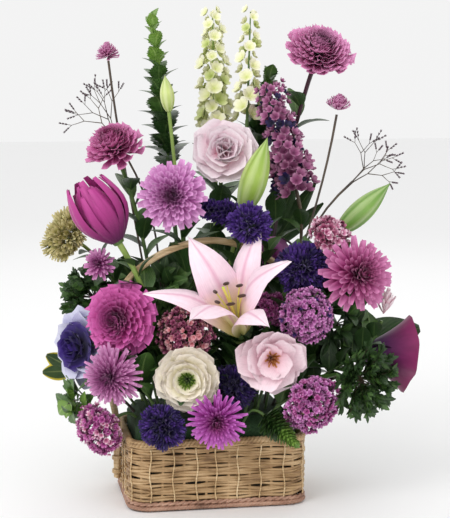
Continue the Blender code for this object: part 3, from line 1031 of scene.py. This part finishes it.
lilac = Bloom("lisianthus_lilac", STEM_GREEN, LILAC_SHEET)
R = lilac.radius
rosette(lilac, round_petal, [
    (6, radians(84), R, 1.0, 0.002, 0.002), (5, radians(60), R * 0.9, 0.8, 0.002, 0.004),
    (4, radians(36), R * 0.8, 0.5, 0.002, 0.006), (3, radians(14), R * 0.7, 0.2, 0.001, 0.007),
], 0.004)
lilac.finish("petal_lilac")

violet = Bloom("lisianthus_violet", STEM_GREEN, PALE_LILAC, VIOLET_SHEET)
R = violet.radius
rosette(
    violet,
    round_petal,
    [(7, radians(96), R * 1.02, 1.0, 0.002, 0.002), (6, radians(80), R * 0.95, 0.9, 0.002, 0.004)],
    0.004,
    1,
    0.3,
)
rosette(violet, frill_petal, [
    (9, radians(72), R * 0.62, 0.6, 0.003, 0.010), (8, radians(50), R * 0.55, 0.5, 0.003, 0.013),
    (7, radians(30), R * 0.48, 0.3, 0.002, 0.015), (5, radians(12), R * 0.42, 0.1, 0.001, 0.017),
], 0.004, 2)
violet.finish("petal_violet")

# === Chrysanthemums and asters ===
# Daisy-family heads packed with narrow strap petals, long and spreading at the rim and short,
# upright and painted darker towards the middle, as shade deep in the head.

strap = blade(
    5,
    2,
    lambda t: 0.050 + 0.075 * sin(pi * min(1, t * 0.92)) ** 0.8,
    lambda t: 0.22 * t * t - 0.05 * t,
    cup=0.9,
)
quill = blade(5, 2, lambda t: 0.030 + 0.045 * sin(pi * min(1, t * 0.92)), lambda t: 0.16 * t * t, cup=0.9)
ragged = blade(
    4,
    3,
    lambda t: 0.05 + 0.17 * t * (1.25 - 0.45 * t),
    lambda t: 0.25 * t * t,
    cup=0.5,
    ruffle=0.07,
    waves=2.5,
)
# The inner colours of these finishes are painted shade for the petals deep in each head.
MUM_LILAC = petal_finish(
    "mum_lilac", (0.38, 0.07, 0.36), (0.70, 0.24, 0.62), (0.88, 0.54, 0.82), vein=0.25,
    inner=(0.46, 0.10, 0.36),
)
MUM_PINK = petal_finish(
    "mum_pink", (0.34, 0.03, 0.18), (0.62, 0.12, 0.40), (0.80, 0.38, 0.62), vein=0.3,
    inner=(0.40, 0.03, 0.20),
)
MUM_MAGENTA = petal_finish(
    "mum_magenta", (0.26, 0.01, 0.16), (0.58, 0.05, 0.36), (0.80, 0.26, 0.60), vein=0.3,
    inner=(0.36, 0.02, 0.22),
)
ASTER_PINK = petal_finish(
    "aster_pink", (0.36, 0.06, 0.28), (0.62, 0.20, 0.50), (0.80, 0.46, 0.70), vein=0.3,
    inner=(0.44, 0.08, 0.34),
)
ASTER_PURPLE = petal_finish(
    "aster_purple", (0.30, 0.03, 0.28), (0.60, 0.10, 0.52), (0.76, 0.30, 0.74), vein=0.3,
    inner=(0.42, 0.04, 0.22),
)


def packed_head(
    node, slot, material, petal, total, spread=102, long=0.98, short=0.42, stem=None, dome=1.0
):
    """A head filled from the rim inwards, each petal a golden-angle turn from the last."""
    head = Bloom(node, stem or STEM_GREEN, material)
    for k in range(total):
        share = 1 - k / total
        tilt = radians(spread) * share**0.8
        size = head.radius * (short + (long - short) * share) * head.rng.uniform(0.9, 1.06)
        rise = head.length * 0.42 * dome * (1 - share)
        root = Vector((0, 0.10 * head.radius * share, head.length * 0.22 + rise))
        # Each petal's rim share goes in as its ring value, so petals towards the middle take the finish's
        # inner colour as painted shade.
        head.stamp(
            petal,
            spun(
                k * GOLDEN_TURN + head.rng.uniform(-0.1, 0.1),
                tilt + head.rng.uniform(-0.08, 0.08),
                root,
                size,
            ),
            1,
            share,
        )
    head.finish(slot)


packed_head("chrysanthemum_upper", "petal_lilac", MUM_LILAC, strap, 190)
packed_head("chrysanthemum_right", "petal_magenta", MUM_PINK, strap, 150, spread=108)
packed_head("chrysanthemum_left", "petal_magenta", MUM_MAGENTA, ragged, 210, spread=112, dome=1.2)
packed_head("aster_pink", "petal_lilac", ASTER_PINK, quill, 300, spread=110, dome=1.2)
packed_head("aster_front", "petal_magenta", ASTER_PURPLE, quill, 190, spread=98, long=1.06)
packed_head("aster_left", "petal_lilac", ASTER_PINK, strap, 80, spread=104)

# === Scabiosa ===
# Pincushion heads: a skirt of notched, crinkled florets round a cushion of short ones, on a wiry
# stem. The stock and the freesia beside them are built alike.

# The inner colour of scabiosa_magenta is painted shade for the cushion deep in the head.
SCABIOSA = petal_finish(
    "scabiosa_magenta", (0.10, 0.004, 0.06), (0.46, 0.03, 0.26), (0.88, 0.48, 0.72), vein=0.45,
    inner=(0.20, 0.01, 0.11),
)
SCABIOSA_PINK = petal_finish(
    "scabiosa_pink", (0.34, 0.06, 0.20), (0.58, 0.20, 0.42), (0.76, 0.42, 0.62), vein=0.35
)
packed_head(
    "scabiosa_large", "petal_magenta", SCABIOSA, ragged, 260, spread=100, short=0.34, stem=STEM_PURPLE
)
packed_head(
    "scabiosa_right", "petal_lilac", SCABIOSA_PINK, ragged, 90, spread=80, short=0.6, stem=STEM_BROWN
)
packed_head(
    "scabiosa_left", "petal_lilac", SCABIOSA_PINK, ragged, 100, spread=112, short=0.7, stem=STEM_BROWN
)
packed_head("stock_left", "petal_magenta", MUM_PINK, ragged, 150, spread=104, short=0.5)
packed_head("freesia_right", "petal_blush", PALE, strap, 26, spread=46, long=1.6, short=1.2)

# === Half-closed bloom ===
# A magenta bloom not yet open, whose long strap petals still stand together in a goblet, held in a
# cup of green scales.

long_strap = blade(
    8,
    4,
    lambda t: 0.03 + 0.055 * sin(pi * min(1, 0.1 + t * 0.86)) ** 0.8,
    lambda t: -0.22 * sin(pi * t),
    cup=0.5,
)
GOBLET = petal_finish(
    "goblet_magenta", (0.18, 0.005, 0.14), (0.42, 0.03, 0.26), (0.58, 0.10, 0.38), vein=0.4
)
goblet = Bloom("tulip", STEM_LIME, GOBLET, STEM_GREEN)
for layer, (count, tilt, root) in enumerate(((15, 11, 0.0085), (13, 5, 0.0075), (11, -2, 0.006))):
    for k in range(count):
        turn = tau * (k + 0.5 * layer) / count
        size = goblet.length * goblet.rng.uniform(0.84, 1.04)
        goblet.stamp(
            long_strap,
            spun(turn, radians(tilt) + goblet.rng.uniform(-0.09, 0.09), Vector((0, root, 0)), size),
            1,
            1.0,
        )
for k in range(14):
    goblet.stamp(strap, spun(tau * k / 14, radians(20), Vector((0, 0.006, -0.004)), 0.026), 2, 1.0)
goblet.finish("petal_magenta")

# === Calla ===
# One deep violet spathe, a single sheet rolled into a funnel and turned back at its lip, with a
# reddish rim, round a finger-shaped spadix.

CALLA = petal_finish(
    "calla_violet", (0.03, 0.008, 0.05), (0.13, 0.03, 0.16), (0.36, 0.05, 0.20), vein=0.45, rough=0.5
)
calla = Bloom("calla", STEM_GREEN, CALLA)
bm = bmesh.new()
bm.loops.layers.uv.new("UVMap")
bmesh.ops.create_grid(bm, x_segments=28, y_segments=16, size=0.5, calc_uvs=True)
for vert in bm.verts:
    turn, t = vert.co.x * tau * 1.06 + pi / 2, vert.co.y + 0.5
    reach = 0.80 + 0.26 * cos(turn - pi / 2)
    width = calla.radius * (0.12 + 0.92 * t**1.4)
    curl = 1 + 0.16 * sin(4 * turn + 0.6) * t**3
    vert.co = Vector((width * curl * cos(turn), width * curl * sin(turn), calla.length * t * reach))
mesh = finished(bm, "spathe")
calla.stamp(mesh, Matrix.Identity(4), 1, 1.0)
calla.add_mesh(
    strands(
        [
            [
                (calla.place @ (UP * calla.length * t), 0.004 * (1.2 - t))
                for t in (0.1, 0.3, 0.5, 0.7, 0.85)
            ]
        ],
        8,
    ),
    None,
    1,
)
calla.finish("petal_violet")

# === Clustered florets ===
# Trachelium, statice, waxflower and solidago carry dozens of small florets on fine branching stalks
# that together make a dome or a spike.


def star_floret(petals, width, lift):
    """A tiny flower: petals round a point, each two faces."""
    bm = bmesh.new()
    bm.loops.layers.uv.new("UVMap")
    petal = blade(
        2, 1, lambda t: width * (0.25 + sin(pi * min(1, 0.12 + t * 0.78))), lambda t: lift * t * t
    )
    for k in range(petals):
        start = len(bm.verts)
        bm.from_mesh(petal)
        bm.verts.ensure_lookup_table()
        turn = Matrix.Rotation(tau * k / petals, 4, "Z") @ Matrix.Rotation(radians(28), 4, "X")
        bmesh.ops.transform(bm, matrix=turn, verts=bm.verts[start:])
    return finished(bm, "floret")


STAR = star_floret(5, 0.34, 0.3)
TUFT = star_floret(6, 0.20, 0.9)
LUMP = 0.09


def clustered(node, slot, materials, floret, count, size, stalk=None, depth=0.5, stalks=26, second=0.0):
    """Florets spread over the front of the head's dome, with some set deeper, on fine stalks."""
    head = Bloom(node, stalk or STEM_GREEN, *materials)
    R, H = head.radius, head.length
    routes = []
    for k in range(count):
        share = (k + 0.5) / count
        turn = k * GOLDEN_TURN
        polar = radians(112) * sqrt(share) * head.rng.uniform(0.94, 1.06)
        shell = head.rng.uniform(depth, 1.0) if k % 3 else head.rng.uniform(0.84, 1.06)
        shell *= 1 - LUMP + LUMP * sin(3 * turn + count) * sin(4 * polar)
        out = Vector((sin(polar) * cos(turn), sin(polar) * sin(turn), cos(polar)))
        spot = Vector((out.x * R * shell, out.y * R * shell, H * 0.42 + out.z * H * 0.58 * shell))
        turn_to = turned_to((out + scatter(head.rng, 0.5)).normalized())
        grown = size * head.rng.uniform(0.75, 1.2)
        material = 2 if len(materials) > 1 and head.rng.random() < second else 1
        # The floret's shell depth goes in as its ring value, so florets set deepest take the finish's
        # inner colour as painted shade.
        head.stamp(floret, Matrix.Translation(spot) @ turn_to @ Matrix.Scale(grown, 4), material, shell)
        if k % max(1, count // stalks) == 0:
            root = Vector((0, 0, 0.001))
            middle = spot * 0.5 + Vector((0, 0, -0.12 * H))
            routes.append(
                [
                    (head.place @ root, 0.0008),
                    (head.place @ middle, 0.0006),
                    (head.place @ spot, 0.0004),
                ]
            )
    head.add_mesh(strands(routes, 4), None, 0)
    head.finish(slot)


# The inner colours of the trachelium and statice finishes are painted shade for florets set deep in each
# dome.
TRACHELIUM = petal_finish(
    "trachelium_magenta", (0.26, 0.02, 0.18), (0.50, 0.10, 0.36), (0.72, 0.34, 0.60),
    inner=(0.14, 0.01, 0.08),
)
TRACHELIUM_LILAC = petal_finish(
    "trachelium_lilac", (0.36, 0.08, 0.30), (0.62, 0.24, 0.54), (0.80, 0.48, 0.74),
    inner=(0.30, 0.05, 0.22),
)
TRACHELIUM_DARK = petal_finish(
    "trachelium_dark", (0.14, 0.01, 0.06), (0.36, 0.06, 0.18), (0.66, 0.30, 0.42),
    inner=(0.08, 0.005, 0.03),
)
CORAL = petal_finish("coral_floret", (0.60, 0.20, 0.22), (0.80, 0.42, 0.46), (0.90, 0.64, 0.66))
STATICE = petal_finish(
    "statice_violet", (0.03, 0.01, 0.10), (0.075, 0.025, 0.22), (0.17, 0.07, 0.38),
    inner=(0.02, 0.008, 0.07),
)
STATICE_DEEP = petal_finish("statice_deep", (0.015, 0.006, 0.05), (0.035, 0.014, 0.12), (0.07, 0.03, 0.20))
WAX_PINK = petal_finish("waxflower_pink", (0.40, 0.06, 0.20), (0.72, 0.34, 0.50), (0.92, 0.78, 0.84))
WAX_MAUVE = petal_finish("waxflower_mauve", (0.24, 0.05, 0.16), (0.44, 0.16, 0.32), (0.66, 0.38, 0.54))
LIME = petal_finish("solidago_lime", (0.30, 0.30, 0.10), (0.56, 0.52, 0.24), (0.74, 0.68, 0.42))

clustered("trachelium_right", "petal_lilac", (TRACHELIUM_LILAC, STATICE), STAR, 420, 0.0042, second=0.04)
clustered("trachelium_middle", "petal_magenta", (TRACHELIUM,), STAR, 200, 0.0042)
clustered("trachelium_centre", "petal_magenta", (TRACHELIUM_DARK, CORAL), STAR, 300, 0.0046, second=0.35)
clustered(
    "trachelium_low_right", "petal_magenta", (TRACHELIUM, TRACHELIUM_LILAC), STAR, 420, 0.0044,
    second=0.5,
)
clustered("trachelium_low_left", "petal_magenta", (TRACHELIUM, WAX_PINK), STAR, 300, 0.0046, second=0.3)
clustered("statice_centre", "petal_violet", (STATICE,), TUFT, 150, 0.0080)
clustered("statice_right", "petal_violet", (STATICE, STATICE_DEEP), TUFT, 200, 0.0090, second=0.4)
clustered("statice_front", "petal_violet", (STATICE_DEEP, STATICE), TUFT, 170, 0.0075, second=0.4)
clustered("statice_low", "petal_violet", (STATICE_DEEP, STATICE), TUFT, 200, 0.0085, second=0.2)
clustered("waxflower_right", "petal_lilac", (WAX_PINK, TRACHELIUM_DARK), STAR, 130, 0.0058, second=0.35)
clustered("solidago", "petal_lime", (LIME,), TUFT, 170, 0.0085, STEM_LIME, depth=0.3)


def spiked(node, slot, materials, floret, count, size, stalk=None, taper=0.55, second=0.0):
    """Florets wound round a long head, smaller towards its tip."""
    head = Bloom(node, stalk or STEM_GREEN, *materials)
    head.add_core(0.6)
    for k in range(count):
        t = (k + 0.5) / count
        turn = k * GOLDEN_TURN
        reach = head.radius * (1 - taper * t) * head.rng.uniform(0.35, 1.0)
        spot = Vector((reach * cos(turn), reach * sin(turn), head.length * t))
        lean = turned_to(Vector((cos(turn), sin(turn), 0.55)).normalized())
        grown = size * (1 - 0.45 * t) * head.rng.uniform(0.8, 1.15)
        material = 2 if len(materials) > 1 and head.rng.random() < second else 1
        head.stamp(floret, Matrix.Translation(spot) @ lean @ Matrix.Scale(grown, 4), material, 0.6)
    head.finish(slot)


spiked("statice_spike", "petal_violet", (STATICE, STATICE_DEEP), TUFT, 130, 0.0085, second=0.3)
spiked(
    "waxflower_back", "petal_lilac", (WAX_MAUVE, STATICE_DEEP), STAR, 170, 0.0105, STEM_BROWN,
    taper=0.25, second=0.25,
)

# === Snapdragons ===
# Cream spikes of loose, lipped florets that get smaller up to the tip, some of them greener.

lip = star_floret(5, 0.44, 0.12)
SNAP_CREAM = petal_finish(
    "snapdragon_cream", (0.72, 0.76, 0.36), (0.88, 0.88, 0.62), (0.94, 0.93, 0.82), vein=0.2
)
SNAP_BUD = petal_finish(
    "snapdragon_bud", (0.44, 0.52, 0.14), (0.66, 0.72, 0.34), (0.82, 0.84, 0.56), vein=0.12
)
spiked(
    "snapdragon_left", "petal_cream", (SNAP_CREAM, SNAP_BUD), lip, 52, 0.0135, STEM_LIME, taper=0.5,
    second=0.2,
)
spiked(
    "snapdragon_right", "petal_cream", (SNAP_CREAM, SNAP_BUD), lip, 30, 0.0120, STEM_GREEN, taper=0.4,
    second=0.35,
)

# === Foliage ===
# Filler greens: serrated holly-like sprigs, small-leaved myrtle, lily blades, fern and broad salal
# leaves behind, each leaf with a midrib and side veins.


def sprig(
    node,
    leaf,
    material,
    count,
    size,
    twigs=12,
    spread=108,
    stalk=None,
    depth=0.35,
    second=None,
    share_second=0.0,
):
    """A bushy tuft: twigs fan out from the neck and leaves stand along each of them."""
    materials = (material, second) if second else (material,)
    bush = Bloom(node, stalk or STEM_BROWN, *materials)
    R, H = bush.radius, bush.length
    routes = []
    for twig in range(twigs):
        share = (twig + 0.5) / twigs
        turn, polar = twig * GOLDEN_TURN, radians(spread) * sqrt(share)
        out = Vector((sin(polar) * cos(turn), sin(polar) * sin(turn), cos(polar)))
        end = Vector((out.x * R, out.y * R, H * 0.40 + out.z * H * 0.60))
        bend = Vector([bush.rng.uniform(-0.12, 0.12) * R for _ in range(3)])
        points = [end * t + bend * sin(pi * t) for t in (0, 0.25, 0.5, 0.75, 1.0)]
        routes.append([(bush.place @ p, 0.0009 - 0.0001 * k) for k, p in enumerate(points)])
        per = count // twigs
        for k in range(per):
            t = depth + (1 - depth) * (k + 0.5) / per
            spot = end * t + bend * sin(pi * t)
            around_twig = k * GOLDEN_TURN + twig
            whorl = Vector((cos(around_twig), sin(around_twig), 0.2)) * 0.9
            turn_to = turned_to((out + whorl + scatter(bush.rng, 0.3)).normalized(), "Y", "Z")
            grown = size * bush.rng.uniform(0.75, 1.2)
            pick = 2 if second and bush.rng.random() < share_second else 1
            bush.stamp(leaf, Matrix.Translation(spot) @ turn_to @ Matrix.Scale(grown, 4), pick, 0.5)
    bush.add_mesh(strands(routes, 4), None, 0)
    bush.finish("leaf")


sprig("myrtle_right", tiny_leaf, LEAF_DARK, 1000, 0.0105, 34, second=LEAF_MID, share_second=0.35)
sprig("myrtle_left", tiny_leaf, LEAF_DARK, 800, 0.0105, 30, second=LEAF_MID, share_second=0.4)
sprig("myrtle_centre", oval_leaf, LEAF_DARK, 66, 0.024, 11, second=LEAF_MID, share_second=0.3)
sprig("myrtle_middle", oval_leaf, LEAF_DARK, 66, 0.024, 11, second=LEAF_MID, share_second=0.3)
sprig("parsley_leaf", tooth_leaf, LEAF_MID, 30, 0.020, 6, second=LEAF_FRESH, share_second=0.3)


def leafy_shoot(node, leaf, count, size, tilt, materials, stalk=None):
    """A shoot with leaves standing off it all the way up, fresh and small at the tip."""
    shoot = Bloom(node, stalk or STEM_GREEN, *materials)
    shoot.add_core(0.75)
    for k in range(count):
        t = (k + 0.3) / count
        turn = k * GOLDEN_TURN
        grown = size * (1.05 - 0.62 * t) * shoot.rng.uniform(0.85, 1.15)
        lean = radians(tilt) * (1.1 - 0.6 * t)
        pick = min(len(materials), 1 + int(t * len(materials)))
        shoot.stamp(leaf, spun(turn, lean, Vector((0, 0.001, shoot.length * t * 0.93)), grown), pick, 0.5)
    shoot.finish("leaf")


leafy_shoot("leafy_branch", tooth_leaf, 36, 0.038, 54, (LEAF_DARK, LEAF_MID, LEAF_FRESH))
leafy_shoot("ruscus_back", tooth_leaf, 22, 0.040, 42, (LEAF_DARK, LEAF_MID))
leafy_shoot("fern_front", tiny_leaf, 130, 0.020, 66, (LEAF_MID, LEAF_FRESH))


def broad_leaf(node, material, outline, count=1, fan=0.0, rows=26):
    """One or a few long leaves that leave the stem together."""
    plant = Bloom(node, STEM_GREEN, material)
    leaf = blade(rows, 6, outline, lambda t: 0.06 * sin(pi * t) - 0.10 * t * t, 0.35, 0.012, 2.0)
    for k in range(count):
        spread = (k - (count - 1) / 2) * fan
        size = plant.length * (1.0 - 0.12 * abs(k - (count - 1) / 2))
        turn = Matrix.Rotation(spread, 4, "Y") @ Matrix.Rotation(pi / 2, 4, "X")
        plant.stamp(leaf, turn @ Matrix.Scale(size, 4), 1, 0.5)
    plant.finish("leaf")


broad_leaf("lily_leaf", LEAF_DARK, lambda t: 0.01 + 0.085 * sin(pi * min(1, t * 0.99)), 4, 0.24)
broad_leaf("calla_leaf", LEAF_DARK, lambda t: 0.02 + 0.24 * sin(pi * min(1, t * 0.98)) ** 0.8)
broad_leaf(
    "variegated_leaf", LEAF_EDGED, lambda t: 0.02 + 0.24 * sin(pi * min(1, t * 0.98)) ** 0.8, 2, 0.5
)
for node in ("salal_back_left", "salal_back_middle", "salal_back_right"):
    broad_leaf(node, LEAF_DARK, lambda t: 0.02 + 0.27 * sin(pi * min(1, t * 0.98)) ** 0.75, 3, 0.5)

# === Limonium twigs ===
# Sea-lavender tips: hair-fine brown branches that fork again and again and end in tiny dry calyces.

TWIG_BUD = petal_finish("limonium_calyx", (0.08, 0.05, 0.05), (0.14, 0.09, 0.10), (0.30, 0.24, 0.28))


def forked(node, shoots):
    spray = Bloom(node, STEM_BROWN, TWIG_BUD)
    routes = []

    def grow(start, heading, length, thick, level):
        bend = scatter(spray.rng, 0.25)
        bend.y *= 0.4
        end = start + (heading + bend).normalized() * length
        routes.append(
            [
                (spray.place @ start, thick),
                (spray.place @ ((start + end) / 2 + bend * length * 0.06), thick * 0.85),
                (spray.place @ end, thick * 0.7),
            ]
        )
        if level == 0:
            lean = turned_to(heading)
            for k in range(3):
                spot = start.lerp(end, 0.4 + 0.3 * k)
                spray.stamp(TUFT, Matrix.Translation(spot) @ lean @ Matrix.Scale(0.0026, 4), 1, 0.5)
            return
        for side in (-1, 1):
            turn = Matrix.Rotation(side * spray.rng.uniform(0.25, 0.65), 3, "Y")
            grow(end, turn @ heading, length * spray.rng.uniform(0.62, 0.86), thick * 0.75, level - 1)

    for k in range(shoots):
        lean = Matrix.Rotation((k - (shoots - 1) / 2) * 0.30, 3, "Y") @ UP
        grow(Vector((0, 0, -0.004)), lean, spray.length * 0.30, 0.0008, 3)
    spray.add_mesh(strands(routes, 4), None, 0)
    spray.finish("twig")


forked("limonium_left", 3)
forked("limonium_right", 3)
